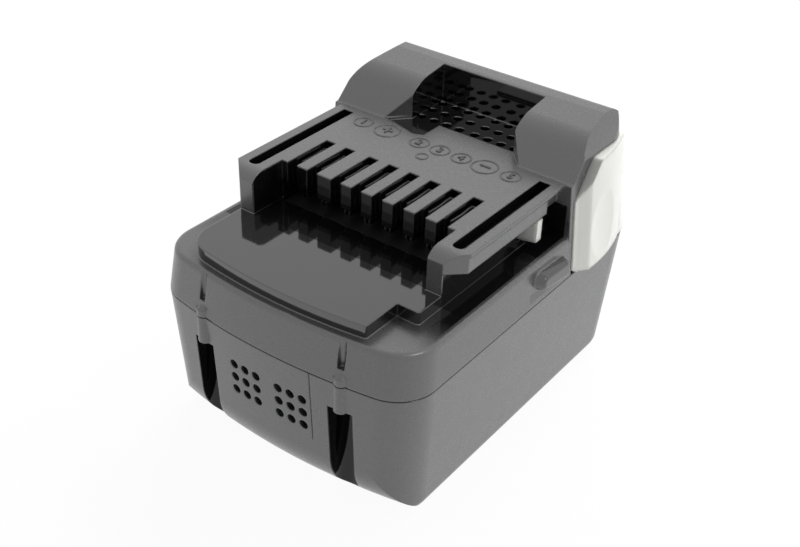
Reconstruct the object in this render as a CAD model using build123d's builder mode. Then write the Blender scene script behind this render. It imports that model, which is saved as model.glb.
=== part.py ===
"""A slide-on battery pack for cordless tools: two moulded case halves, two side latches with
their springs, a comb of eight contacts on a circuit board, and ten round cells in two rows.

The pack stands on its base. +X is to the right, the vented front faces -Y, +Z is up, and the
origin is the middle of the base. All lengths are in millimetres."""
from build123d import *
import math
import os

os.makedirs("parts", exist_ok=True)

# Case: overall sizes
case_width = 77.0
case_length = 109.5
parting_height = 37.4        # joint between the case halves
rim_height = 48.7            # flat rim round the raised deck
deck_height = 52.1           # glossy raised deck ahead of the contacts
plate_height = 62.7          # top of the contact plate and rails
hump_height = 73.0           # top of the rear hump
case_wall = 1.9
parting_gap = 0.3
cut_overrun = 4.0            # how far every cut passes its surface
form_margin = 9.0            # extra height a form has before it is trimmed

# Case: plan outline
front_bow_radius = 170.0
rear_bow_radius = 280.0
front_corner_radius = 10.5
rear_corner_radius = 12.0

# Case: drafts in degrees, and the rounded edges
lower_draft = 3.5
side_draft = 4.3
front_draft = 9.5
rear_draft = 10.3
base_edge_radius = 3.1
front_roll_radius = 13.6     # front face rolls under at the floor
rim_edge_radius = 1.3

# Case: tongue of the lower half inside the upper one
tongue_thickness = 0.8
tongue_height = 1.4
tongue_gap = 0.4
fit_gap = 0.15

# Cells
cell_diameter = 18.2
cell_length = 65.0
cell_pitch = 18.3
cell_count = 5               # in each row
lower_row_shift = 0.6        # rows sit a little behind the middle
upper_row_shift = 2.25
cell_floor_gap = 0.75        # foam between floor and cells
cell_cap_diameter = 7.4
cell_cap_height = 0.7
cell_groove_depth = 0.35
cell_groove_width = 1.2
cell_groove_place = 3.4      # from the plus end
cell_seat_gap = 0.1

# Cell holders
holder_depth = 13.0          # how much of each cell end a holder grips
holder_plate = 0.8
holder_window_diameter = 13.0
holder_case_gap = 0.3
holder_top = 37.2

# Nickel strips and insulating sheets on the cell ends
strip_thickness = 0.25
strip_margin = 5.2           # beyond the cell axes
strip_dimple_diameter = 9.0
strip_corner_radius = 2.0
sheet_thickness = 0.25
sheet_gap = 0.1
sheet_margin = 5.4

# Front screw channels
channel_place = 20.8         # from the middle plane
channel_width = 6.4
channel_top = 29.9
channel_wall = 1.2
screw_diameter = 3.0
screw_head_diameter = 5.4
screw_head_height = 2.2
screw_length = 13.0
screw_play = 0.1
screw_head_play = 0.4
screw_boss_radius = 1.9      # half-round rib on the front face
screw_boss_proud = 0.8
screw_boss_top = 39.4
groove_radius = 1.05         # core groove above the rib
groove_depth = 0.4           # at the rim

# Front vents and joint line of the vent insert
vent_diameter = 2.5
vent_inner_place = 3.4
vent_pitch_x = 3.53
vent_pitch_z = 3.85
vent_columns = 3
vent_rows = 3
vent_middle_height = 24.4
insert_line_place = 12.9
insert_line_width = 0.3
insert_line_depth = 0.4
insert_line_low = 17.1

# Raised deck
deck_front = -50.4
deck_bow_radius = 150.0
deck_key_half_width = 24.3   # right side ahead of its step
deck_key_rear = -37.2
deck_left_radius = 8.0
deck_edge_radius = 0.8
deck_wall = 1.8

# Rails and towers
rail_half_width = 34.6
rail_wall_half_width = 30.2  # outer face under the rail flange
rail_under_height = 57.7
rail_front = -28.9
rail_roll_start = -24.8
rail_roll_drop = 2.1
rail_skin = 1.0
rail_skin_step = 0.3
rail_flange_rear = 8.8
rail_end_radius = 1.8
tower_inner = 26.0           # half the bay between the front towers
rail_groove_middle = 30.4
rail_groove_width = 3.25
rail_groove_front = -24.3
rail_groove_rear = 13.9
rail_groove_depth = 3.6
rail_groove_wall = 0.8       # left between the groove and the notch behind the flange

# Contact comb
comb_front = -18.1
comb_low = 55.9
comb_slot_width = 3.1
comb_slot_rear = -3.0
comb_first_slot = -22.6
comb_pitch = 6.25
comb_wide_pitch = 7.4        # between the second and third slot
comb_slots = 8
well_front = -19.1
well_rear = -0.3
well_half_width = 25.6
plate_thickness = 2.2
comb_rib = 1.8               # wall behind the well

# Rear hump
hump_front = 15.8            # side walls start here
hump_foot = 16.8             # slope starts on the plate
hump_slope_top = (22.3, 68.6)
hump_roll_end = (28.5, 71.9)
hump_crown = 37.5
hump_rear_top = 42.0
hump_rear_low = (55.2, 57.0)
hump_side_low = (36.9, 63.0)
hump_side_middle = (35.4, 69.3)
hump_side_top = 32.4
hump_rear_radius = 3.0
hump_foot_radius = 1.2

# Finger pocket with its vents
pocket_half_width = 15.8
pocket_mouth_half_width = 20.7
pocket_flare_front = 17.0
pocket_floor_front = 22.4
pocket_rear = 36.3
pocket_floor_drop = 0.8
pocket_wall = 1.9
lobe_left = -20.3
lobe_right = -7.0
lobe_front = 14.1
lobe_radius = 2.4
floor_vent_diameter = 2.6
floor_vent_inner = 2.4
floor_vent_pitch_x = 4.05
floor_vent_columns = 4
floor_vent_rows = 3
floor_vent_first = 25.0
floor_vent_pitch_y = 4.95

# Side bump ahead of each latch
bump_front = -1.7
bump_rear = 14.0
bump_low = 39.3
bump_high = 46.8
bump_slant = 1.8
bump_radius = 2.6
bump_proud = 2.1
bump_root = 1.2
bump_taper = 20
bump_edge_radius = 0.9

# Latch buttons
latch_front = 17.6
latch_low = 38.0
latch_bend = (17.4, 57.6)
latch_top_front = (26.2, 66.6)
latch_top_rear = (43.3, 66.6)
latch_back_high = (46.0, 60.0)
latch_back_low = (48.4, 44.0)
latch_corner_radius = 1.4
latch_play = 0.3
latch_stroke = 3.5
latch_face = 41.1            # crown of the thumb face at its foot
latch_face_top = 38.6
latch_face_start = 21.9
latch_face_middle = 40.5
latch_face_end = (37.0, 46.3)
latch_rear_proud = 0.25
latch_skin_inner = 36.4      # clears the cells when pressed
latch_core_inner = 33.6
latch_core_low = 40.4
latch_core_front = 21.4
latch_core_rear = 43.0
latch_lug_rise = 1.2
latch_lug_thickness = 1.6
latch_lug_margin = 3.0
latch_lug_rear = 38.2
latch_arm_outer = 27.7
latch_arm_thickness = 2.3
latch_arm_low = 50.4
latch_arm_high = 56.4
latch_web_front = 20.0
latch_web_rear = 25.4
nib_front = 3.4
nib_rear = 7.1
nib_outer = 34.3
nib_low = 51.4
nib_high = 57.2
nib_ramp = 1.4
nib_ramp_width = 2.6
nib_play = 0.35
dish_radius = 60.0
dish_depth = 0.7
dish_middle = (33.0, 53.0)

# Latch springs
spring_place = (32.0, 52.5)
spring_radius = 2.9          # to the wire's middle
spring_wire = 0.7
spring_turns = 5
spring_end_gap = 0.15
spring_seat = 24.6
spring_rib_thickness = 1.8
spring_rib_margin = 5.0
spring_post_diameter = 4.2
spring_post_length = 2.0
seat_post_length = 1.5
spring_web_thickness = 1.8
spring_web_low = 53.0
spring_web_high = 66.0

# Circuit board and what stands on it
tray_low = 39.7
tray_thickness = 1.0
board_low = 42.2
board_thickness = 1.6
board_half_width = 27.0
board_front = -31.0
board_rear = 12.5
board_corner_radius = 1.5
post_diameter = 4.4
post_inset = 3.0
board_screw_diameter = 2.0
board_screw_head_diameter = 3.6
board_screw_head_height = 1.3
chip_size = (9.0, 6.0, 1.4)
chip_place = (6.0, 6.0)
transistor_size = (6.2, 5.6, 2.2)
transistor_pitch = 8.0
transistor_place = (-12.0, 6.0)
board_part_lift = 0.05

# Terminal holder and contacts
block_top = 51.5
block_gap = 0.3
block_slot_gap = 0.15
contact_sheet = 0.5
contact_gap = 0.9            # between the leaves
contact_throat = 0.5
contact_front = -13.5
contact_throat_place = -9.6
contact_straight = -6.2
contact_rear = -4.4
contact_low = 46.4
contact_top = 61.2
contact_pin_width = 1.2
contact_pin_low = 41.6

# Foam under the cells
foam_width = 9.0
foam_gap = 0.05

# Worked-out sizes
half_width = case_width / 2
half_length = case_length / 2
cell_radius = cell_diameter / 2
half_cell = cell_length / 2
floor_height = case_wall
lower_cell_height = floor_height + cell_floor_gap + cell_radius
upper_cell_height = lower_cell_height + cell_pitch
row_half_span = cell_pitch * (cell_count - 1) / 2
lower_row_front = lower_row_shift - row_half_span - cell_radius
upper_row_front = upper_row_shift - row_half_span - cell_radius
channel_back_low = lower_row_front - holder_case_gap - channel_wall
channel_back_top = upper_row_front - holder_case_gap - channel_wall
channel_lean = (channel_back_top - channel_back_low) / (channel_top - lower_cell_height)
channel_back_base = channel_back_low - channel_lean * lower_cell_height
screw_y = channel_back_top - screw_head_diameter / 2 - screw_head_play
holder_end = half_cell + cell_seat_gap + holder_plate
strip_outer = holder_end + strip_thickness
board_top = board_low + board_thickness
contact_places = [
    comb_first_slot + comb_pitch * slot + (comb_wide_pitch - comb_pitch) * (slot > 1)
    for slot in range(comb_slots)
]


def tan(degrees):
    return math.tan(math.radians(degrees))


def bow_rise(radius, reach):
    """How far an arc of this radius falls back at this distance from its middle."""
    return radius - math.sqrt(radius ** 2 - reach ** 2)


def front_face(place, height):
    """Y of the case's front face at this distance from the middle plane and height."""
    draft = front_draft if height > parting_height else lower_draft
    inset = abs(height - parting_height) * tan(draft)
    return inset - half_length + bow_rise(front_bow_radius, place)


def box_between(low, high):
    """A block between two corners."""
    size = [abs(b - a) for a, b in zip(low, high)]
    middle = [(a + b) / 2 for a, b in zip(low, high)]
    with BuildPart() as block:
        with Locations(tuple(middle)):
            Box(*size)
    return block.part


def drafted_form(inset, low, high, side_lean, front_lean, rear_lean):
    """Case form between two heights: flat sides, bowed front and rear, round corners.

    The leans say how far each face moves inwards per height above the parting line. The form
    is made taller at both ends and then trimmed."""
    base = low - form_margin
    crown = high + form_margin
    low_rise = base - parting_height
    high_rise = crown - parting_height
    half = half_width - inset
    with BuildPart() as form:
        with BuildSketch(Plane.XZ):
            Polygon(
                (low_rise * side_lean - half, base),
                (half - low_rise * side_lean, base),
                (half - high_rise * side_lean, crown),
                (high_rise * side_lean - half, crown),
                align=None,
            )
        extrude(amount=case_length, both=True)
        # bowed ends: cones about upright axes far behind each end
        for end, bow_radius, lean in (
            (-1, front_bow_radius, front_lean),
            (1, rear_bow_radius, rear_lean),
        ):
            axis_y = end * (half_length - bow_radius)
            reach = bow_radius - inset
            with BuildSketch(Plane.YZ):
                Polygon(
                    (axis_y, base),
                    (axis_y - end * (reach - low_rise * lean), base),
                    (axis_y - end * (reach - high_rise * lean), crown),
                    (axis_y, crown),
                    align=None,
                )
            revolve(axis=Axis((0, axis_y, 0), (0, 0, 1)), mode=Mode.INTERSECT)
        uprights = [
            edge
            for edge in form.edges()
            if edge.bounding_box().size.Z > (crown - base) / 2 and abs(edge.center().X) > half / 2
        ]
        fronts = [edge for edge in uprights if edge.center().Y < 0]
        rears = [edge for edge in uprights if edge.center().Y > 0]
        fillet(fronts, radius=front_corner_radius - inset)
        fillet(rears, radius=rear_corner_radius - inset)
        slab = box_between((-case_width, -case_length, low), (case_width, case_length, high))
        add(slab, mode=Mode.INTERSECT)
    return form.part


def lower_form(inset, low, high):
    """The lower case's drafted form between two heights, shrunk by an inset."""
    lean = -tan(lower_draft)
    return drafted_form(inset, low, high, lean, lean, lean)


def rolled_front(inset, low):
    """Everything behind the bowed front, with the front rolled under at the floor."""
    axis_y = front_bow_radius - half_length
    lean = tan(lower_draft)
    high = parting_height + form_margin
    low_front = axis_y - front_bow_radius + inset + (parting_height - low) * lean
    high_front = low_front - (high - low) * lean
    with BuildPart() as body:
        with BuildSketch(Plane.YZ) as profile:
            Polygon(
                (axis_y, low),
                (low_front, low),
                (high_front, high),
                (axis_y, high),
                align=None,
            )
            corner = profile.vertices().sort_by_distance((low_front, low))[0]
            fillet(corner, radius=front_roll_radius - inset)
        revolve(axis=Axis((0, axis_y, 0), (0, 0, 1)))
    return body.part


def lower_body(inset, low, high):
    """Lower form with its rounded base edge and its rolled front."""
    with BuildPart() as body:
        add(lower_form(inset, low, high))
        fillet(body.edges().group_by(Axis.Z)[0], radius=base_edge_radius - inset)
        add(rolled_front(inset, low), mode=Mode.INTERSECT)
    return body.part


def upper_form(inset, low, high):
    """The upper case's drafted form between two heights, shrunk by an inset."""
    return drafted_form(inset, low, high, tan(side_draft), tan(front_draft), tan(rear_draft))


def channel_form(side, extra, low, high, front):
    """Round-backed screw channel, leaning with the cell rows; extra adds its wall."""
    half = channel_width / 2 + extra
    back = channel_back_base + channel_lean * low + extra
    lean = Vector(0, channel_lean, 1)
    with BuildPart() as form:
        with BuildSketch(Plane.XY.offset(low)):
            with Locations((side * channel_place, 0)):
                with Locations((0, (front + back - half) / 2)):
                    Rectangle(2 * half, back - half - front)
                with Locations((0, back - half)):
                    Circle(half)
        extrude(amount=(high - low) * lean.length, dir=lean)
    return form.part


def hump_form(inset):
    """The rear hump: drafted plan, rolled side profile and curved-in flanks."""
    with BuildPart() as form:
        add(upper_form(inset, parting_height - cut_overrun * (inset > 0), hump_height))
        with BuildSketch(Plane.YZ) as profile:
            with BuildLine():
                slope = (hump_slope_top[0] - hump_foot, hump_slope_top[1] - plate_height)
                rear_end = half_length + cut_overrun
                Polyline(
                    (rear_end, hump_rear_low[1]),
                    (rear_end, 0),
                    (hump_front, 0),
                    (hump_front, plate_height),
                    (hump_foot, plate_height),
                    hump_slope_top,
                )
                TangentArc(hump_slope_top, hump_roll_end, tangent=slope)
                Polyline(
                    hump_roll_end,
                    (hump_crown, hump_height),
                    (hump_rear_top, hump_height),
                    hump_rear_low,
                    (rear_end, hump_rear_low[1]),
                )
            make_face()
            if inset > 0:
                offset(amount=-inset, kind=Kind.INTERSECTION)
            else:
                foot = profile.vertices().sort_by_distance((hump_foot, plate_height))[0]
                fillet(foot, radius=hump_foot_radius)
            rear_corner = profile.vertices().sort_by_distance((hump_rear_top, hump_height))[0]
            fillet(rear_corner, radius=hump_rear_radius - inset)
        extrude(amount=case_width, both=True, mode=Mode.INTERSECT)
        with BuildSketch(Plane.XZ) as flanks:
            with BuildLine():
                low_x, low_z = hump_side_low
                middle_x, middle_z = hump_side_middle
                wide = half_width + cut_overrun
                for side in (-1, 1):
                    ThreePointArc(
                        (side * (low_x - inset), low_z),
                        (side * (middle_x - inset), middle_z),
                        (side * (hump_side_top - inset), hump_height),
                    )
                    Polyline(
                        (side * (low_x - inset), low_z),
                        (side * wide, low_z - cut_overrun),
                        (side * wide, 0),
                        (0, 0),
                    )
                Line((inset - hump_side_top, hump_height), (hump_side_top - inset, hump_height))
            make_face()
        extrude(amount=case_length, both=True, mode=Mode.INTERSECT)
    return form.part


def make_lower_case():
    top = parting_height - parting_gap / 2
    with BuildPart() as lower_case:
        outer = lower_body(0, 0, top)
        add(outer)
        add(lower_body(case_wall, floor_height, top + cut_overrun), mode=Mode.SUBTRACT)

        # tongue that lines up the upper half
        front = -half_length - cut_overrun
        tongue_outer = case_wall - tongue_thickness
        with BuildPart(mode=Mode.PRIVATE) as tongue:
            add(lower_form(tongue_outer, top - tongue_height, top + tongue_height))
            add(
                lower_form(case_wall, top - 2 * tongue_height, top + 2 * tongue_height),
                mode=Mode.SUBTRACT,
            )
            for side in (-1, 1):
                add(
                    channel_form(side, channel_wall + parting_gap, top - tongue_height, case_length, front),
                    mode=Mode.SUBTRACT,
                )
                latch_gap = box_between(
                    (side * latch_core_inner, latch_front - 2 * latch_play, top),
                    (side * case_width, latch_back_low[0] + 2 * latch_play, case_width),
                )
                add(latch_gap, mode=Mode.SUBTRACT)
        add(tongue.part)

        # screw channels: walls first, then the open channel and its screw hole
        with BuildPart(mode=Mode.PRIVATE) as channel_walls:
            for side in (-1, 1):
                add(channel_form(side, channel_wall, -cut_overrun, top, front))
            add(outer, mode=Mode.INTERSECT)
        add(channel_walls.part)
        for side in (-1, 1):
            cut = channel_form(side, 0, -cut_overrun, channel_top, front)
            add(cut, mode=Mode.SUBTRACT)
        with Locations(*[(side * channel_place, screw_y, channel_top) for side in (-1, 1)]):
            Cylinder(
                screw_diameter / 2 + screw_play,
                2 * (top - channel_top) + cut_overrun,
                mode=Mode.SUBTRACT,
            )
        add(front_ribs(channel_top, top))

        # front vents, three by three on each side of the middle
        group_middle = vent_inner_place + vent_pitch_x * (vent_columns - 1) / 2
        with BuildSketch(Plane.XZ.offset(half_length + cut_overrun)):
            for side in (-1, 1):
                with Locations((side * group_middle, vent_middle_height)):
                    with GridLocations(vent_pitch_x, vent_pitch_z, vent_columns, vent_rows):
                        Circle(vent_diameter / 2)
        extrude(amount=-2 * cut_overrun - case_wall, mode=Mode.SUBTRACT)

        # joint line of the vent insert
        low_front = front_face(insert_line_place, insert_line_low)
        high = top + cut_overrun
        high_front = front_face(insert_line_place, parting_height) - cut_overrun * tan(lower_draft)
        with BuildSketch(Plane.YZ.offset(insert_line_place - insert_line_width / 2)):
            Polygon(
                (low_front - cut_overrun, insert_line_low),
                (low_front + insert_line_depth, insert_line_low),
                (high_front + insert_line_depth, high),
                (high_front - cut_overrun, high),
                align=None,
            )
        extrude(amount=insert_line_width, mode=Mode.SUBTRACT)
    lower_case.part.label = "lower_case"
    export_step(lower_case.part, "parts/lower_case.step")


def front_ribs(low, high):
    """Half-round rib in front of each screw, between two heights."""
    rib_y = front_face(channel_place, parting_height) + screw_boss_radius - screw_boss_proud
    with BuildPart() as ribs:
        with Locations(*[(side * channel_place, rib_y, low) for side in (-1, 1)]):
            Cylinder(
                screw_boss_radius,
                high - low,
                align=(Align.CENTER, Align.CENTER, Align.MIN),
            )
    return ribs.part


def deck_outline(height, inset):
    """Raised deck: round left front corner, stepped key on the right."""
    left = inset - rail_wall_half_width
    right = rail_wall_half_width - inset
    key = deck_key_half_width - inset
    front = deck_front + inset
    left_front = front + bow_rise(deck_bow_radius, left)
    key_front = front + bow_rise(deck_bow_radius, key)
    with BuildSketch(Plane.XY.offset(height)) as outline:
        with BuildLine():
            ThreePointArc((left, left_front), (0, front), (key, key_front))
            Polyline(
                (key, key_front),
                (key, deck_key_rear + inset),
                (right, deck_key_rear + inset),
                (right, hump_foot),
                (left, hump_foot),
                (left, left_front),
            )
        make_face()
        corners = outline.vertices().sort_by_distance((left, left_front))
        fillet(corners[0], radius=deck_left_radius - inset)
        corner = outline.vertices().sort_by_distance((key, key_front))[0]
        fillet(corner, radius=deck_edge_radius)
        corner = outline.vertices().sort_by_distance((right, deck_key_rear + inset))[0]
        fillet(corner, radius=deck_edge_radius)
    return outline.sketch


def rails_form():
    """Towers, contact plate and overhanging rail flanges, with rolled-off front ends."""
    with BuildPart() as rails:
        flange_start = rail_front + rail_half_width - rail_wall_half_width
        with BuildSketch(Plane.XY.offset(rim_height)):
            with Locations((0, (rail_front + hump_foot) / 2)):
                Rectangle(2 * rail_wall_half_width, hump_foot - rail_front)
        extrude(amount=plate_height - rim_height)
        with BuildSketch(Plane.XY.offset(rail_under_height)):
            Polygon(
                (-rail_wall_half_width, rail_front),
                (rail_wall_half_width, rail_front),
                (rail_half_width, flange_start),
                (rail_half_width, hump_foot),
                (-rail_half_width, hump_foot),
                (-rail_half_width, flange_start),
                align=None,
            )
        extrude(amount=plate_height - rail_under_height)

        # bay between the towers, ahead of the comb
        bay_front = rail_front - cut_overrun
        bay = box_between(
            (-tower_inner, bay_front, deck_height),
            (tower_inner, comb_front, plate_height + cut_overrun),
        )
        add(bay, mode=Mode.SUBTRACT)

        # front ends roll down from the plate
        with BuildSketch(Plane.YZ):
            with BuildLine():
                high = plate_height + cut_overrun
                low = plate_height - rail_roll_drop
                TangentArc((rail_roll_start, plate_height), (rail_front, low), tangent=(-1, 0))
                Polyline(
                    (rail_front, low),
                    (bay_front, low),
                    (bay_front, high),
                    (rail_roll_start, high),
                    (rail_roll_start, plate_height),
                )
            make_face()
        extrude(amount=case_width, both=True, mode=Mode.SUBTRACT)

        # thin skin on top stands out over the flange sides, and the flange stops short of the hump
        skin_low = plate_height - rail_skin
        for side in (-1, 1):
            step = box_between(
                (rail_half_width - rail_skin_step, rail_front, rail_under_height - cut_overrun),
                (rail_half_width + cut_overrun, hump_front, skin_low),
            )
            with BuildPart(mode=Mode.PRIVATE) as pocket:
                with BuildSketch(Plane.XY.offset(rail_under_height - cut_overrun)) as plan:
                    notch_wall = rail_groove_middle + rail_groove_width / 2 + rail_groove_wall
                    reach = rail_half_width + cut_overrun - notch_wall
                    with Locations((notch_wall + reach / 2, (rail_flange_rear + hump_front) / 2)):
                        Rectangle(reach, hump_front - rail_flange_rear)
                    near = plan.vertices().group_by(Axis.X)[0].sort_by(Axis.Y)[0]
                    fillet(near, radius=rail_end_radius)
                extrude(amount=skin_low - rail_under_height + cut_overrun)
            for cut in (step, pocket.part):
                placed = cut if side > 0 else mirror(cut, about=Plane.YZ, mode=Mode.PRIVATE)
                add(placed, mode=Mode.SUBTRACT)

        # long blind groove along each rail
        groove_length = rail_groove_rear - rail_groove_front
        groove_middle = (rail_groove_rear + rail_groove_front) / 2
        with BuildSketch(Plane.XY.offset(plate_height - rail_groove_depth)) as grooves:
            with Locations(*[(side * rail_groove_middle, groove_middle) for side in (-1, 1)]):
                Rectangle(rail_groove_width, groove_length)
            fillet(grooves.vertices().group_by(Axis.Y)[0], radius=rail_groove_width / 2 - fit_gap)
        extrude(amount=rail_groove_depth + cut_overrun, mode=Mode.SUBTRACT)
    return rails.part


def comb_cut():
    """Eight open slots between the comb's fingers, and the well for the contact block below."""
    with BuildPart() as cut:
        well = box_between(
            (-well_half_width, well_front, parting_height),
            (well_half_width, well_rear, comb_low),
        )
        add(well)
        slot_front = comb_front - cut_overrun
        with BuildSketch(Plane.XY.offset(comb_low - fit_gap)):
            with Locations(*[(place, (slot_front + comb_slot_rear) / 2) for place in contact_places]):
                Rectangle(comb_slot_width, comb_slot_rear - slot_front)
        extrude(amount=plate_height - comb_low + cut_overrun)
    return cut.part


def pocket_cut():
    """Finger pocket in the hump with flared jambs, a sunk floor and floor vents."""
    with BuildPart() as cut:
        floor = plate_height - pocket_floor_drop
        with BuildSketch(Plane.XY.offset(plate_height)):
            Polygon(
                (-pocket_mouth_half_width, hump_front),
                (-pocket_mouth_half_width, pocket_flare_front),
                (-pocket_half_width, pocket_floor_front),
                (-pocket_half_width, pocket_rear),
                (pocket_half_width, pocket_rear),
                (pocket_half_width, pocket_floor_front),
                (pocket_mouth_half_width, pocket_flare_front),
                (pocket_mouth_half_width, hump_front),
                align=None,
            )
        extrude(amount=hump_height - plate_height + cut_overrun)
        with BuildSketch(Plane.XY.offset(floor)):
            with Locations((0, (pocket_floor_front + pocket_rear) / 2)):
                Rectangle(2 * pocket_half_width, pocket_rear - pocket_floor_front)
            with BuildSketch(mode=Mode.PRIVATE) as lobe:
                Polygon(
                    (lobe_left, pocket_flare_front),
                    (lobe_left + lobe_radius, lobe_front + lobe_radius),
                    (lobe_right - lobe_radius, lobe_front),
                    (lobe_right, lobe_front + lobe_radius / 2),
                    (lobe_right, pocket_floor_front + lobe_radius),
                    (-pocket_half_width, pocket_floor_front + lobe_radius),
                    (-pocket_half_width, pocket_floor_front),
                    align=None,
                )
                fillet(lobe.vertices().group_by(Axis.Y)[0], radius=lobe_radius)
            add(lobe.sketch)
        extrude(amount=pocket_floor_drop)
        group_middle = floor_vent_inner + floor_vent_pitch_x * (floor_vent_columns - 1) / 2
        row_middle = floor_vent_first + floor_vent_pitch_y * (floor_vent_rows - 1) / 2
        with BuildSketch(Plane.XY.offset(floor + cut_overrun)):
            for side in (-1, 1):
                with Locations((side * group_middle, row_middle)):
                    with GridLocations(
                        floor_vent_pitch_x, floor_vent_pitch_y, floor_vent_columns, floor_vent_rows
                    ):
                        Circle(floor_vent_diameter / 2)
        extrude(amount=-2 * cut_overrun)
    return cut.part


def upper_cavity():
    """Everything hollow inside the upper case, from the parting line up."""
    low = parting_height - cut_overrun
    floor_under = plate_height - pocket_floor_drop - pocket_wall
    with BuildPart() as cavity:
        add(upper_form(case_wall, low, rim_height - case_wall))
        with BuildPart(mode=Mode.PRIVATE) as hump_hollow:
            add(hump_form(case_wall))
            pocket_block = box_between(
                (-pocket_half_width - pocket_wall, 0, floor_under),
                (
                    pocket_half_width + pocket_wall,
                    pocket_rear + pocket_wall,
                    hump_height + cut_overrun,
                ),
            )
            add(pocket_block, mode=Mode.SUBTRACT)
            for side in (-1, 1):
                jamb = box_between(
                    (pocket_half_width * side, 0, floor_under),
                    (
                        (pocket_mouth_half_width + pocket_wall) * side,
                        pocket_floor_front + pocket_wall,
                        hump_height + cut_overrun,
                    ),
                )
                add(jamb, mode=Mode.SUBTRACT)
        add(hump_hollow.part)
        rail_hollow = box_between(
            (case_wall - rail_wall_half_width, well_rear + comb_rib, low),
            (rail_wall_half_width - case_wall, hump_foot + case_wall, plate_height - plate_thickness),
        )
        add(rail_hollow)
        deck_hollow = box_between(
            (deck_wall - deck_key_half_width, deck_front + case_wall + deck_wall, low),
            (deck_key_half_width - deck_wall, well_front - deck_wall, deck_height - deck_wall),
        )
        add(deck_hollow)
    return cavity.part


def latch_side_outline(plane, margin):
    """The latch button seen from the side; margin widens it for the opening in the case."""
    with BuildSketch(plane) as outline:
        Polygon(
            (latch_back_low[0], latch_low),
            latch_back_low,
            latch_back_high,
            latch_top_rear,
            latch_top_front,
            latch_bend,
            (latch_front, latch_low),
            align=None,
        )
        if margin > 0:
            offset(amount=margin, kind=Kind.INTERSECTION)
        fillet(outline.vertices(), radius=latch_corner_radius + margin)
    return outline.sketch


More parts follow.
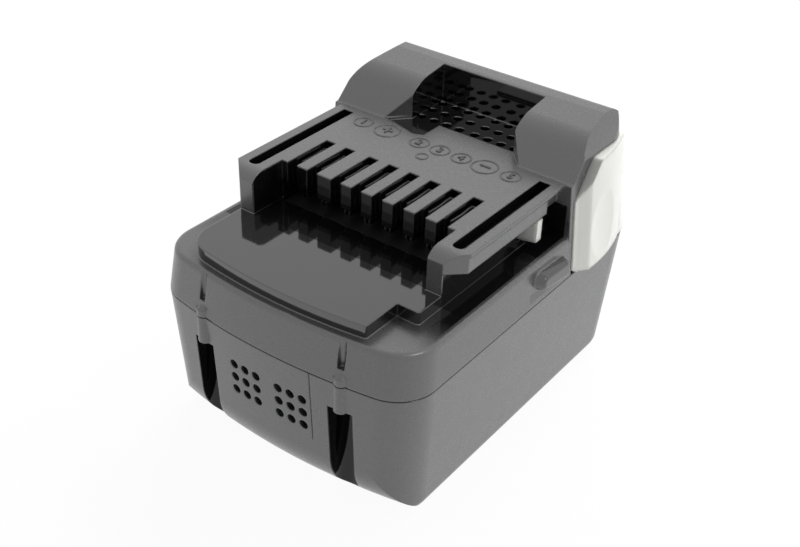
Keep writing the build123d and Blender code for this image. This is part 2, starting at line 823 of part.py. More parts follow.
def make_upper_case():
    low = parting_height + parting_gap / 2
    with BuildPart() as upper_case:
        with BuildPart(mode=Mode.PRIVATE) as ring:
            add(upper_form(0, low, rim_height))
            fillet(ring.edges().group_by(Axis.Z)[-1], radius=rim_edge_radius)
        add(ring.part)
        add(deck_outline(rim_height - case_wall, 0))
        extrude(amount=deck_height - rim_height + case_wall)
        add(rails_form())
        with BuildPart(mode=Mode.PRIVATE) as hump:
            add(hump_form(0))
            trim = box_between(
                (-case_width, -case_length, -cut_overrun),
                (case_width, case_length, low),
            )
            add(trim, mode=Mode.SUBTRACT)
        add(hump.part)
        add(pocket_cut(), mode=Mode.SUBTRACT)

        # hollow inside, with the screw bosses left standing
        with BuildPart(mode=Mode.PRIVATE) as hollow:
            add(upper_cavity())
            for side in (-1, 1):
                front = front_face(channel_place, rim_height) - cut_overrun
                add(
                    channel_form(side, channel_wall, low, rim_height, front),
                    mode=Mode.SUBTRACT,
                )
        add(hollow.part, mode=Mode.SUBTRACT)
        add(comb_cut(), mode=Mode.SUBTRACT)

        # rebate for the lower half's tongue
        rebate = upper_form(
            case_wall - tongue_thickness - tongue_gap,
            low - cut_overrun,
            low + tongue_height + fit_gap,
        )
        add(rebate, mode=Mode.SUBTRACT)
        for side in (-1, 1):
            front = front_face(channel_place, rim_height)
            boss_low = low + tongue_height + fit_gap
            boss = channel_form(side, channel_wall, low, boss_low, front)
            add(boss)
        screw_top = channel_top + screw_length - screw_head_height + screw_play
        with Locations(*[(side * channel_place, screw_y, low) for side in (-1, 1)]):
            Cylinder(
                screw_diameter / 2 + screw_play / 2,
                2 * (screw_top - low),
                mode=Mode.SUBTRACT,
            )

        # front ribs with domed tops, and the core grooves above them
        add(front_ribs(low, screw_boss_top))
        rib_y = front_face(channel_place, parting_height) + screw_boss_radius - screw_boss_proud
        with Locations(*[(side * channel_place, rib_y, screw_boss_top) for side in (-1, 1)]):
            Sphere(screw_boss_radius, arc_size1=0)
        groove_y = front_face(channel_place, rim_height) + groove_depth - groove_radius
        dome_top = screw_boss_top + screw_boss_radius
        with Locations(*[(side * channel_place, groove_y, dome_top) for side in (-1, 1)]):
            Cylinder(
                groove_radius,
                rim_height - dome_top + cut_overrun,
                align=(Align.CENTER, Align.CENTER, Align.MIN),
                mode=Mode.SUBTRACT,
            )

        # openings of the latches, their hook windows and their spring seats
        nib_window_low = nib_low - nib_play
        for side in (-1, 1):
            inner = latch_core_inner - latch_stroke - latch_play
            plane = Plane.YZ.offset(inner)
            with BuildPart(mode=Mode.PRIVATE) as opening:
                add(latch_side_outline(plane, latch_play))
                extrude(amount=case_width, dir=Axis.X.direction)
                window = box_between(
                    (latch_arm_outer, nib_front - nib_play, nib_window_low),
                    (rail_wall_half_width + fit_gap, nib_rear + nib_play, rail_under_height),
                )
                add(window)
                foot = box_between(
                    (inner, latch_front - latch_play, 0),
                    (case_width, latch_back_low[0] + latch_play, latch_low + latch_corner_radius),
                )
                add(foot)
            with BuildPart(mode=Mode.PRIVATE) as seat:
                rib_inner = spring_seat - spring_rib_thickness
                rib = box_between(
                    (
                        rib_inner,
                        spring_place[0] - spring_rib_margin,
                        spring_place[1] - spring_rib_margin,
                    ),
                    (
                        spring_seat,
                        spring_place[0] + spring_rib_margin,
                        spring_place[1] + spring_rib_margin,
                    ),
                )
                add(rib)
                web = box_between(
                    (
                        pocket_half_width + pocket_wall / 2,
                        spring_place[0] - spring_web_thickness / 2,
                        spring_web_low,
                    ),
                    (
                        rib_inner + spring_rib_thickness / 2,
                        spring_place[0] + spring_web_thickness / 2,
                        spring_web_high,
                    ),
                )
                add(web)
                with BuildSketch(Plane.YZ.offset(spring_seat)):
                    with Locations(spring_place):
                        Circle(spring_post_diameter / 2)
                extrude(amount=seat_post_length)
            for piece, way in ((opening.part, Mode.SUBTRACT), (seat.part, Mode.ADD)):
                placed = piece if side > 0 else mirror(piece, about=Plane.YZ, mode=Mode.PRIVATE)
                add(placed, mode=way)

        # side bumps ahead of the latches
        wall_x = half_width - (bump_low - parting_height) * tan(side_draft)
        with BuildPart(mode=Mode.PRIVATE) as bump:
            with BuildSketch(Plane.YZ.offset(wall_x - bump_root)) as face:
                Polygon(
                    (bump_front, bump_high),
                    (bump_front + bump_slant, bump_low + bump_slant),
                    (bump_rear, bump_low),
                    (bump_rear, bump_high - bump_slant / 2),
                    align=None,
                )
                fillet(face.vertices(), radius=bump_radius)
            extrude(amount=bump_root + bump_proud, taper=bump_taper)
            fillet(bump.faces().sort_by(Axis.X)[-1].edges(), radius=bump_edge_radius)
        add(bump.part)
        add(mirror(bump.part, about=Plane.YZ, mode=Mode.PRIVATE))
    upper_case.part.label = "upper_case"
    export_step(upper_case.part, "parts/upper_case.step")


def latch_face_outline(height):
    """Plan of the thumb face: chamfered front, crowned middle, running in at the rear."""
    end_x, end_y = latch_face_end
    with BuildSketch(Plane.XY.offset(height)) as outline:
        with BuildLine():
            Polyline(
                latch_face_end,
                (latch_core_inner, end_y),
                (latch_core_inner, latch_front),
                (half_width - fit_gap, latch_front),
                (latch_face, latch_face_start),
            )
            ThreePointArc(
                (latch_face, latch_face_start),
                (latch_face_middle, (latch_face_start + end_y) / 2),
                latch_face_end,
            )
        make_face()
    return outline.sketch


def make_latch(side, name):
    """Button, spring post, hook arm and nib in one moulding."""
    top = latch_top_front[1] + fit_gap
    with BuildPart() as latch:
        # thumb face, and behind it the case's own rounded corner, both cut to the side outline
        low = latch_low - fit_gap
        add(latch_face_outline(low))
        face_lean = Vector((latch_face_top - latch_face) / (top - low), 0, 1)
        extrude(amount=(top - low) * face_lean.length, dir=face_lean)
        with BuildPart(mode=Mode.PRIVATE) as corner:
            add(upper_form(-latch_rear_proud, parting_height, hump_height))
            keep = box_between(
                (latch_core_inner, latch_front, 0),
                (case_width, case_length, hump_height),
            )
            add(keep, mode=Mode.INTERSECT)
            with BuildSketch(Plane.XZ):
                low_x, low_z = hump_side_low
                middle_x, middle_z = hump_side_middle
                with BuildLine():
                    arc = ThreePointArc(
                        (low_x + latch_rear_proud, low_z),
                        (middle_x + latch_rear_proud, middle_z),
                        (hump_side_top + latch_rear_proud, hump_height),
                    )
                    Polyline(
                        arc @ 1,
                        (0, hump_height),
                        (0, 0),
                        (case_width, 0),
                        (case_width, low_z),
                        arc @ 0,
                    )
                make_face()
            extrude(amount=case_length, both=True, mode=Mode.INTERSECT)
        add(corner.part)
        add(latch_side_outline(Plane.YZ, 0))
        extrude(amount=case_width, dir=Axis.X.direction, mode=Mode.INTERSECT)

        # shallow thumb dish
        dish_share = (dish_middle[1] - latch_low) / (top - latch_low)
        dish_x = latch_face - dish_share * (latch_face - latch_face_top)
        dish_centre = dish_x + dish_radius - dish_depth - bow_rise(dish_radius, fit_gap)
        with Locations((dish_centre, *dish_middle)):
            Sphere(dish_radius, mode=Mode.SUBTRACT)

        # upright inner side, and the skin hollowed over the cells
        core_back = box_between(
            (0, 0, 0),
            (latch_core_inner, case_length, hump_height),
        )
        add(core_back, mode=Mode.SUBTRACT)
        skin_low = box_between(
            (0, 0, 0),
            (latch_skin_inner, case_length, latch_core_low),
        )
        add(skin_low, mode=Mode.SUBTRACT)

        # stop lug above the opening
        lug_low = latch_top_front[1] - latch_lug_margin
        lug = box_between(
            (
                latch_core_inner - latch_lug_thickness,
                latch_top_front[0] + latch_corner_radius,
                lug_low,
            ),
            (
                latch_core_inner,
                latch_lug_rear,
                latch_top_front[1] + latch_lug_rise,
            ),
        )
        add(lug)

        # plate behind the core that carries post, lug and arm
        plate = box_between(
            (latch_core_inner - latch_lug_thickness, latch_core_front, latch_core_low),
            (latch_core_inner, latch_core_rear, latch_top_front[1] - latch_lug_margin + fit_gap),
        )
        add(plate)
        post_root = latch_core_inner - latch_lug_thickness
        with BuildSketch(Plane.YZ.offset(post_root)):
            with Locations(spring_place):
                Circle(spring_post_diameter / 2)
        extrude(amount=-spring_post_length)

        # arm and hook nib with its ramp
        arm_inner = latch_arm_outer - latch_arm_thickness
        web = box_between(
            (arm_inner, latch_web_front, latch_arm_low),
            (latch_core_inner, latch_web_rear, latch_arm_high),
        )
        add(web)
        arm = box_between(
            (arm_inner, nib_front, latch_arm_low),
            (latch_arm_outer, latch_web_rear, latch_arm_high),
        )
        add(arm)
        with BuildSketch(Plane.XY.offset(nib_low)):
            Polygon(
                (arm_inner, nib_front),
                (latch_arm_outer, nib_front),
                (nib_outer - nib_ramp_width, nib_front + nib_ramp / 2),
                (nib_outer, nib_front + nib_ramp),
                (nib_outer, nib_rear),
                (arm_inner, nib_rear),
                align=None,
            )
        extrude(amount=nib_high - nib_low)
        if side < 0:
            mirror(about=Plane.YZ, mode=Mode.REPLACE)
    latch.part.label = name
    export_step(latch.part, f"parts/{name}.step")


def make_spring(side, name):
    """Coil spring between the seat rib and the latch, along X."""
    start = spring_seat + spring_wire / 2 + spring_end_gap
    end = latch_core_inner - latch_lug_thickness - spring_wire / 2 - spring_end_gap
    pitch = (end - start) / spring_turns
    with BuildPart() as spring:
        with BuildLine():
            coil = Helix(
                pitch=pitch,
                height=end - start,
                radius=spring_radius,
                center=(side * start, *spring_place),
                direction=(side, 0, 0),
            )
        with BuildSketch(Plane(origin=coil @ 0, z_dir=coil % 0)):
            Circle(spring_wire / 2)
        sweep()
    spring.part.label = name
    export_step(spring.part, f"parts/{name}.step")
    print(name, "gap between turns", round(pitch - spring_wire, 2))


def cell_places():
    """Y and Z of every cell axis, row by row from the front."""
    places = []
    for height, shift in (
        (lower_cell_height, lower_row_shift),
        (upper_cell_height, upper_row_shift),
    ):
        for column in range(cell_count):
            places.append((shift - row_half_span + cell_pitch * column, height))
    return places


def make_cells():
    """Ten round cells; neighbours along a row lie end for end."""
    for index, (y, z) in enumerate(cell_places()):
        plus = 1 if index % cell_count % 2 == 0 else -1
        shoulder = half_cell - cell_cap_height
        groove = shoulder - cell_groove_place
        neck = cell_radius - cell_groove_depth
        with BuildPart() as cell:
            with BuildSketch(Plane.XY.offset(z)):
                with Locations((0, y)):
                    Polygon(
                        (-plus * half_cell, 0),
                        (-plus * half_cell, cell_radius),
                        (plus * groove, cell_radius),
                        (plus * (groove + cell_groove_width / 2), neck),
                        (plus * (groove + cell_groove_width), cell_radius),
                        (plus * shoulder, cell_radius),
                        (plus * shoulder, cell_cap_diameter / 2),
                        (plus * half_cell, cell_cap_diameter / 2),
                        (plus * half_cell, 0),
                        align=None,
                    )
            revolve(axis=Axis((0, y, z), (1, 0, 0)))
        name = f"cell_{index + 1:02d}"
        cell.part.label = name
        export_step(cell.part, f"parts/{name}.step")


def make_cell_holder(side, name):
    """End frame: follows the case inside, grips the cells, windows for the strips."""
    low = floor_height + holder_case_gap
    inner = holder_end - holder_depth
    with BuildPart() as holder:
        add(lower_body(case_wall + holder_case_gap, low, holder_top))
        slab = box_between(
            (side * inner, -case_length, 0),
            (side * holder_end, case_length, case_length),
        )
        add(slab, mode=Mode.INTERSECT)
        with BuildSketch(Plane.YZ.offset(side * (inner - cut_overrun))):
            with Locations(*cell_places()):
                Circle(cell_radius + cell_seat_gap)
        extrude(
            amount=side * (half_cell + cell_seat_gap - inner + cut_overrun),
            mode=Mode.SUBTRACT,
        )
        with BuildSketch(Plane.YZ.offset(side * half_cell)):
            with Locations(*cell_places()):
                Circle(holder_window_diameter / 2)
        extrude(amount=side * cut_overrun, mode=Mode.SUBTRACT)
        for channel_side in (-1, 1):
            keep_out = channel_form(
                channel_side, channel_wall + holder_case_gap, 0, parting_height, -half_length
            )
            add(keep_out, mode=Mode.SUBTRACT)
    holder.part.label = name
    export_step(holder.part, f"parts/{name}.step")


def make_strip(side, columns, name):
    """Nickel strip over one or two columns, with a dimple onto each cell end."""
    places = [p for i, p in enumerate(cell_places()) if i % cell_count in columns]
    ys = [y for y, z in places]
    zs = [z for y, z in places]
    with BuildPart() as strip:
        with BuildSketch(Plane.YZ.offset(side * holder_end)):
            width = max(ys) - min(ys) + 2 * strip_margin
            height = max(zs) - min(zs) + 2 * strip_margin
            with Locations(((max(ys) + min(ys)) / 2, (max(zs) + min(zs)) / 2)):
                RectangleRounded(width, height, strip_corner_radius)
        extrude(amount=side * strip_thickness)
        with BuildSketch(Plane.YZ.offset(side * half_cell)):
            with Locations(*places):
                Circle(strip_dimple_diameter / 2)
        extrude(amount=side * (holder_end - half_cell))
    strip.part.label = name
    export_step(strip.part, f"parts/{name}.step")


def make_insulating_sheet(side, name):
    """Thin sheet between the strips and the case wall."""
    places = cell_places()
    low_y = lower_row_shift - row_half_span - sheet_margin
    high_y = lower_row_shift + row_half_span + sheet_margin
    low_z = lower_cell_height - sheet_margin
    high_z = places[-1][1] + sheet_margin
    with BuildPart() as sheet:
        with BuildSketch(Plane.YZ.offset(side * (strip_outer + sheet_gap))):
            with Locations(((low_y + high_y) / 2, (low_z + high_z) / 2)):
                RectangleRounded(high_y - low_y, high_z - low_z, strip_corner_radius)
        extrude(amount=side * sheet_thickness)
    sheet.part.label = name
    export_step(sheet.part, f"parts/{name}.step")


def board_post_places():
    x = board_half_width - post_inset
    front = board_front + post_inset
    rear = board_rear - post_inset
    return [(-x, front), (x, front), (-x, rear), (x, rear)]


def make_board_tray():
    """Plastic tray lying on the upper row of cells, with four posts for the board."""
    with BuildPart() as tray:
        with BuildSketch(Plane.XY.offset(tray_low)) as plan:
            with Locations((0, (board_front + board_rear) / 2)):
                RectangleRounded(
                    2 * board_half_width, board_rear - board_front, board_corner_radius
                )
        extrude(amount=tray_thickness)
        with BuildSketch(Plane.XY.offset(tray_low)):
            with Locations(*board_post_places()):
                Circle(post_diameter / 2)
        extrude(amount=board_low - tray_low)
        with BuildSketch(Plane.XY.offset(board_low)):
            with Locations(*board_post_places()):
                Circle(board_screw_diameter / 2)
        extrude(amount=tray_low - board_low + tray_thickness / 2, mode=Mode.SUBTRACT)
    tray.part.label = "board_tray"
    export_step(tray.part, "parts/board_tray.step")


def make_board():
    with BuildPart() as board:
        with BuildSketch(Plane.XY.offset(board_low)):
            with Locations((0, (board_front + board_rear) / 2)):
                RectangleRounded(
                    2 * board_half_width, board_rear - board_front, board_corner_radius
                )
            with Locations(*board_post_places()):
                Circle(board_screw_diameter / 2 + screw_play, mode=Mode.SUBTRACT)
            with Locations(*contact_pin_places()):
                Rectangle(
                    contact_pin_width + 2 * screw_play,
                    contact_sheet + 2 * screw_play,
                    mode=Mode.SUBTRACT,
                )
        extrude(amount=board_thickness)
    board.part.label = "circuit_board"
    export_step(board.part, "parts/circuit_board.step")


def contact_pin_places():
    return [(place, contact_rear - contact_sheet / 2) for place in contact_places]


def make_board_screws():
    """Four pan-head screws through the board into the tray's posts."""
    with BuildPart() as screws:
        with BuildSketch(Plane.XY.offset(board_top)):
            with Locations(*board_post_places()):
                Circle(board_screw_head_diameter / 2)
        extrude(amount=board_screw_head_height)
        with BuildSketch(Plane.XY.offset(board_top)):
            with Locations(*board_post_places()):
                Circle(board_screw_diameter / 2 - screw_play / 2)
        extrude(amount=tray_low - board_top + tray_thickness)
    screws.part.label = "board_screws"
    export_step(screws.part, "parts/board_screws.step")


def make_board_parts():
    """Control chip and three power transistors on the rear of the board."""
    with BuildPart() as chip:
        with BuildSketch(Plane.XY.offset(board_top + board_part_lift)):
            with Locations(chip_place):
                Rectangle(chip_size[0], chip_size[1])
        extrude(amount=chip_size[2])
    chip.part.label = "control_chip"
    export_step(chip.part, "parts/control_chip.step")
    with BuildPart() as transistors:
        with BuildSketch(Plane.XY.offset(board_top + board_part_lift)):
            with Locations(transistor_place):
                with GridLocations(transistor_pitch, transistor_pitch, 2, 1):
                    Rectangle(transistor_size[0], transistor_size[1])
        extrude(amount=transistor_size[2])
    transistors.part.label = "power_transistors"
    export_step(transistors.part, "parts/power_transistors.step")


def make_terminal_holder():
    """Moulded block that fills the well and holds the eight contacts upright."""
    with BuildPart() as block:
        body = box_between(
            (block_gap - well_half_width, well_front + block_gap, board_top),
            (well_half_width - block_gap, well_rear - block_gap, block_top),
        )
        add(body)
        slot_width = contact_gap + 2 * contact_sheet + 2 * block_slot_gap
        slot_front = contact_front - block_slot_gap
        slot_rear = contact_rear + block_slot_gap
        with BuildSketch(Plane.XY.offset(block_top + cut_overrun)):
            with Locations(*[(x, (slot_front + slot_rear) / 2) for x in contact_places]):
                Rectangle(slot_width, slot_rear - slot_front)
        extrude(amount=contact_low - block_slot_gap - block_top - cut_overrun, mode=Mode.SUBTRACT)
        with BuildSketch(Plane.XY.offset(block_top)):
            with Locations(*contact_pin_places()):
                Rectangle(contact_pin_width + 2 * screw_play, contact_sheet + 2 * screw_play)
        extrude(amount=board_low - block_top, mode=Mode.SUBTRACT)
    block.part.label = "terminal_holder"
    export_step(block.part, "parts/terminal_holder.step")


def make_contacts():
    """Fork contacts: two leaves that pinch at the throat and flare at the mouth."""
    for index, x in enumerate(contact_places):
        half = contact_gap / 2
        throat = contact_throat / 2
        sheet = contact_sheet
        with BuildPart() as contact:
            with BuildSketch(Plane.XY.offset(contact_low)):
                for side in (-1, 1):
                    with BuildLine():
                        Polyline(
                            (x + side * half, contact_front),
                            (x + side * throat, contact_throat_place),
                            (x + side * half, contact_straight),
                            (x + side * half, contact_rear - sheet),
                            (x, contact_rear - sheet),
                            (x, contact_rear),
                            (x + side * (half + sheet), contact_rear),
                            (x + side * (half + sheet), contact_straight),
                            (x + side * (throat + sheet), contact_throat_place),
                            (x + side * (half + sheet), contact_front),
                            close=True,
                        )
                    make_face()
            extrude(amount=contact_top - contact_low)
            with BuildSketch(Plane.XY.offset(contact_low)):
                with Locations((x, contact_rear - sheet / 2)):
                    Rectangle(contact_pin_width, sheet)
            extrude(amount=contact_pin_low - contact_low)
        name = f"contact_{index + 1}"
        contact.part.label = name
        export_step(contact.part, f"parts/{name}.step")


def make_case_screws():
    """Two long screws driven up the front channels."""
    with BuildPart() as screws:
        places = [(side * channel_place, screw_y) for side in (-1, 1)]
        with BuildSketch(Plane.XY.offset(channel_top)):
            with Locations(*places):
                Circle(screw_head_diameter / 2)
        extrude(amount=-screw_head_height)
        with BuildSketch(Plane.XY.offset(channel_top)):
            with Locations(*places):
                Circle(screw_diameter / 2)
        extrude(amount=screw_length - screw_head_height)
    screws.part.label = "case_screws"
    export_step(screws.part, "parts/case_screws.step")


def make_foam_pads():
    """Two foam strips along the floor under the lower row."""
    with BuildPart() as pads:
        length = 2 * row_half_span
        with BuildSketch(Plane.XY.offset(floor_height)):
            with Locations((-channel_place, lower_row_shift), (channel_place, lower_row_shift)):
                Rectangle(foam_width, length)
        extrude(amount=cell_floor_gap - foam_gap)
        inner = holder_end - holder_depth
        for side in (-1, 1):
            trim = box_between(
                (side * (inner - holder_case_gap), -case_length, 0),
                (side * case_width, case_length, case_length),
            )
            add(trim, mode=Mode.SUBTRACT)
    pads.part.label = "foam_pads"
    export_step(pads.part, "parts/foam_pads.step")


make_lower_case()
make_upper_case()
make_latch(1, "latch_right")
make_latch(-1, "latch_left")
make_spring(1, "latch_spring_right")
make_spring(-1, "latch_spring_left")
make_cells()
make_cell_holder(1, "cell_holder_right")
make_cell_holder(-1, "cell_holder_left")
make_strip(1, (0, 1), "strip_right_front")
make_strip(1, (2, 3), "strip_right_middle")
make_strip(1, (4,), "strip_right_rear")
make_strip(-1, (0,), "strip_left_front")
make_strip(-1, (1, 2), "strip_left_middle")
make_strip(-1, (3, 4), "strip_left_rear")
make_insulating_sheet(1, "insulating_sheet_right")
make_insulating_sheet(-1, "insulating_sheet_left")
make_board_tray()
make_board()
make_board_screws()
make_board_parts()
make_terminal_holder()
make_contacts()
make_case_screws()
make_foam_pads()
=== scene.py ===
"""Studio picture of a slide-on tool battery pack, built over the pack's own parts."""

import math

import bpy
from mathutils import Matrix, Vector


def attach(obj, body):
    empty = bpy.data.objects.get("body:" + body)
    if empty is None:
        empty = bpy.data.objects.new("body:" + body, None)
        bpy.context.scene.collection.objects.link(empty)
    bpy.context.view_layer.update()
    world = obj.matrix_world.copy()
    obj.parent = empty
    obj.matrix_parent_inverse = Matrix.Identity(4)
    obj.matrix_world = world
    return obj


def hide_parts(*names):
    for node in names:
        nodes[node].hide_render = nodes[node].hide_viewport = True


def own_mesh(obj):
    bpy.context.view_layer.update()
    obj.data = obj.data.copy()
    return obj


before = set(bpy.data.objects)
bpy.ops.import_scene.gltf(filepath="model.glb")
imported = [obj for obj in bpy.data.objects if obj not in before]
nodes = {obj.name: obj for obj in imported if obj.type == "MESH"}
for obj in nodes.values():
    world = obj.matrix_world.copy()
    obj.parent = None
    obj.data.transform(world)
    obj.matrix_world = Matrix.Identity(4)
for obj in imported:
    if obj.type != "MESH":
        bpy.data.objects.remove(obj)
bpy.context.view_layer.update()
MM = 0.001

# Places that several finishes of the case share, in millimetres
tower_front = -28.5          # along the pack, behind its middle
comb_rear = -2.9
hump_front = 17.3
pocket_rear = 36.4
flange_half_width = 36.0     # over both rail flanges
space_floor = 47.9           # a little below the rim, the floor of the spaces under the flanges

# Boxes of the case painted near black and made glossy, in millimetres: the raised deck is black
# polish on top with painted shade on its step, the terminal bay, the case joint and the finger
# pocket's floor and walls are painted shade, and the side bumps are painted near black too.
# "across" is the distance from the middle plane, "along" runs back from the pack's middle and
# "up" is the height, each from low to high; None leaves that side open.
polish_and_shade_boxes = {
    "raised_deck": {"along": (None, comb_rear), "up": (49.05, 52.55)},
    "terminal_bay": {
        "across": (None, 26.05),
        "along": (tower_front, comb_rear),
        "up": (space_floor, 62.3),
    },
    "case_joint": {"up": (37.12, 37.68)},
    "side_bumps": {"across": (38.2, None), "along": (-2.25, 14.55), "up": (38.9, 47.3)},
    "pocket_walls": {"across": (None, 15.85), "along": (22.2, pocket_rear)},
    "pocket_floor": {"across": (None, 21.5), "along": (None, pocket_rear), "up": (61.75, 62.05)},
}
# Deep boxes painted darker still, with a weaker painted reflection, as painted shade
painted_shade_deep_boxes = {
    "under_flanges": {
        "across": (None, flange_half_width),
        "along": (tower_front, hump_front),
        "up": (space_floor, 57.3),
    },
    "rail_grooves": {"across": (28.77, 32.03), "along": (-24.4, 14.0), "up": (58.75, 62.45)},
    "screw_channels": {"across": (17.45, 24.15), "along": (None, -25.0), "up": (None, 29.8)},
}
# Rim below the flanges, painted near black as painted shade, and the stretch along the pack over
# which that painted shade fades in
rim_shade_box = {
    "across": (None, flange_half_width),
    "along": (None, hump_front),
    "up": (space_floor, 49.1),
}
rim_shade_fade = (-40.0, -32.0)

plate_height = 62.7          # contact plate
sleeve_half_length = 31.9    # a cell's sleeve ends just short of its steel ends

# Marks moulded behind the contact slots, in millimetres
mark_row = 11.0              # behind the pack's middle
number_places = [-23.2, -5.2, 1.2, 7.7, 22.3]
sign_places = [-15.5, 14.7]
ejector_place = (-0.4, 5.5)
ejector_ring_radius = 1.5
number_ring_radius = 2.5
sign_ring_radius = 3.35
ring_line_radius = 0.24
number_height = 3.5
sign_height = 6.0
mark_rise = 0.25
ring_steps = 48              # corners round a ring, and round its line
line_steps = 8

# Latch springs, in millimetres
coil_place = (32.0, 52.5)    # axis behind the pack's middle, and its height
coil_start = 25.1            # middle of the wire at its inner end
coil_end = 31.5
coil_radius = 2.9
coil_wire_radius = 0.35
coil_turns = 5.0
coil_steps = 40              # corners in a turn, and round the wire
wire_steps = 12

# Sockets that a node doesn't tell apart by name: a Mix node's two colours and their mixture,
# its two values, and the ranges of a Map Range node
COLOUR_A, COLOUR_B, COLOUR_OUT = 6, 7, 2
VALUE_A, VALUE_B = 2, 3
FROM_LOW, FROM_HIGH, TO_LOW, TO_HIGH = 1, 2, 3, 4
# Nearly all of a noise pattern lies between these values
NOISE_LOW, NOISE_HIGH = 0.35, 0.65


# Small helpers


def linear(hex_colour):
    """sRGB hex text to a linear RGBA tuple."""
    text = hex_colour.lstrip("#")
    values = [int(text[i:i + 2], 16) / 255 for i in (0, 2, 4)]
    return (*[v / 12.92 if v <= 0.04045 else ((v + 0.055) / 1.055) ** 2.4 for v in values], 1.0)


def add_node(tree, kind, settings=None, inputs=None):
    """One node with its settings; an input takes a value or another node's socket."""
    made = tree.nodes.new(kind)
    for key, value in (settings or {}).items():
        setattr(made, key, value)
    for key, value in (inputs or {}).items():
        if isinstance(value, bpy.types.NodeSocket):
            tree.links.new(value, made.inputs[key])
        else:
            made.inputs[key].default_value = value
    return made


def new_material(name):
    """Empty material with its shader, and the place of each point on the piece."""
    material = bpy.data.materials.new(name)
    material.use_nodes = True
    tree = material.node_tree
    tree.nodes.clear()
    shader = add_node(tree, "ShaderNodeBsdfPrincipled")
    add_node(tree, "ShaderNodeOutputMaterial", inputs={0: shader.outputs[0]})
    place = add_node(tree, "ShaderNodeTexCoord").outputs["Object"]
    return material, tree, shader, place


def inside_box(tree, spans, box):
    """Mask that is 1 inside a box and 0 outside it."""
    mask = 1.0
    for span, limits in box.items():
        for limit, test in zip(limits, ("GREATER_THAN", "LESS_THAN")):
            if limit is None:
                continue
            within = add_node(
                tree, "ShaderNodeMath", {"operation": test}, {0: spans[span], 1: limit * MM}
            )
            both = add_node(
                tree, "ShaderNodeMath", {"operation": "MULTIPLY"}, {0: mask, 1: within.outputs[0]}
            )
            mask = both.outputs[0]
    return mask


def any_of(tree, masks):
    """Mask that is 1 wherever one of these masks is."""
    joined = 0.0
    for mask in masks:
        either = add_node(tree, "ShaderNodeMath", {"operation": "MAXIMUM"}, {0: joined, 1: mask})
        joined = either.outputs[0]
    return joined


# Materials


